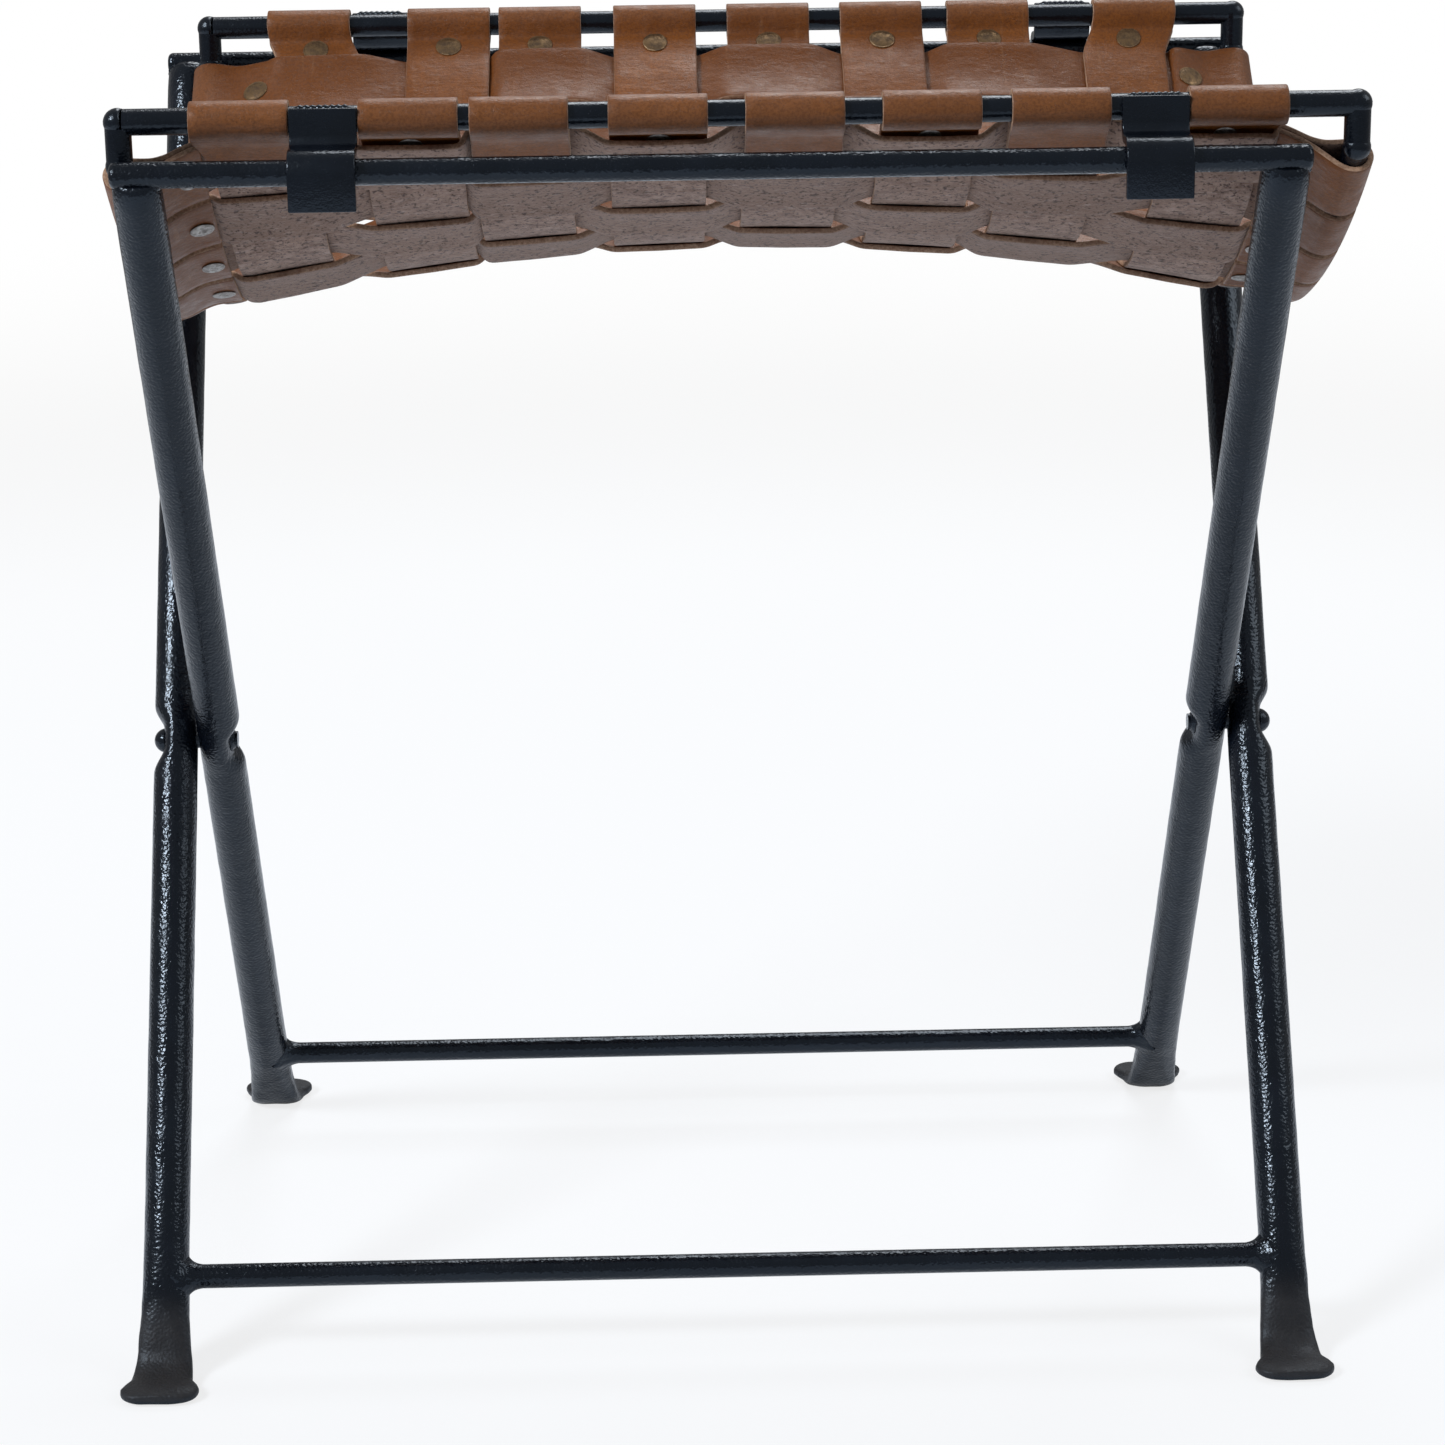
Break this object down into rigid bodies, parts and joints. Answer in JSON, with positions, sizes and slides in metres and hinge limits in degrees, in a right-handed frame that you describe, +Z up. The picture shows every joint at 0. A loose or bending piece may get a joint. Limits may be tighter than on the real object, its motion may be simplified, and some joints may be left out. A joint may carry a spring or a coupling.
{
  "type": "magazine rack",
  "caption": "Folding magazine rack: two crossed tube frames carry a lift-off basket of woven leather straps on hooked rods.",
  "frame": {"origin": "on the floor, under the middle of the four feet", "axes": "+Z up, +X along the rails to the right as seen from the front, +Y to the rear"},
  "size_m": [0.4234, 0.3032, 0.4494],
  "materials": {
    "frame_black": "semi-gloss black coat with a fine grain",
    "rod_black": "semi-gloss black coat",
    "strap_leather": "tan grain leather, rough flesh side outside the loops",
    "cap_brass": "aged brass",
    "back_steel": "dull grey rivet backs"
  },
  "bodies": {
    "inner_frame": {"inner_rail": "frame_black", "inner_leg_left": "frame_black", "inner_leg_right": "frame_black", "inner_stretcher": "frame_black", "inner_frame_welds": "frame_black", "pivot_rivet_left": "frame_black", "pivot_rivet_right": "frame_black"},
    "outer_frame": {"outer_rail": "frame_black", "outer_leg_left": "frame_black", "outer_leg_right": "frame_black", "outer_stretcher": "frame_black", "outer_frame_welds": "frame_black"},
    "basket": {"basket_front_rod": "rod_black", "basket_rear_rod": "rod_black", "basket_end_bar_left": "rod_black", "basket_end_bar_right": "rod_black", "front_hook_left": "rod_black", "front_hook_right": "rod_black", "rear_hook_left": "rod_black", "rear_hook_right": "rod_black", "cross_strap_1": "strap_leather", "cross_strap_2": "strap_leather", "cross_strap_3": "strap_leather", "cross_strap_4": "strap_leather", "cross_strap_5": "strap_leather", "cross_strap_6": "strap_leather", "cross_strap_7": "strap_leather", "cross_strap_8": "strap_leather", "long_strap_1": "strap_leather", "long_strap_2": "strap_leather", "long_strap_3": "strap_leather", "long_strap_4": "strap_leather", "long_strap_5": "strap_leather", "long_strap_6": "strap_leather", "long_strap_7": "strap_leather", "long_strap_8": "strap_leather", "long_strap_9": "strap_leather", "front_rivet_caps": "cap_brass", "rear_rivet_caps": "cap_brass", "left_rivet_caps": "cap_brass", "right_rivet_caps": "cap_brass", "front_rivet_backs": "back_steel", "rear_rivet_backs": "back_steel", "left_rivet_backs": "back_steel", "right_rivet_backs": "back_steel"}
  },
  "joints": [
    {"name": "frame_fold", "type": "hinge", "parent": "inner_frame", "child": "outer_frame", "pos_m": [0, 0, 0.1975], "axis": [1, 0, 0], "range_deg": [0, 57]},
    {"name": "basket_lift", "type": "slide", "parent": "inner_frame", "child": "basket", "axis": [0, 0, 1], "range_m": [0, 0.56]}
  ],
  "couplings": [
    {"joint": "basket_lift", "follows": "frame_fold", "m_per_rad": 0.55}
  ]
}
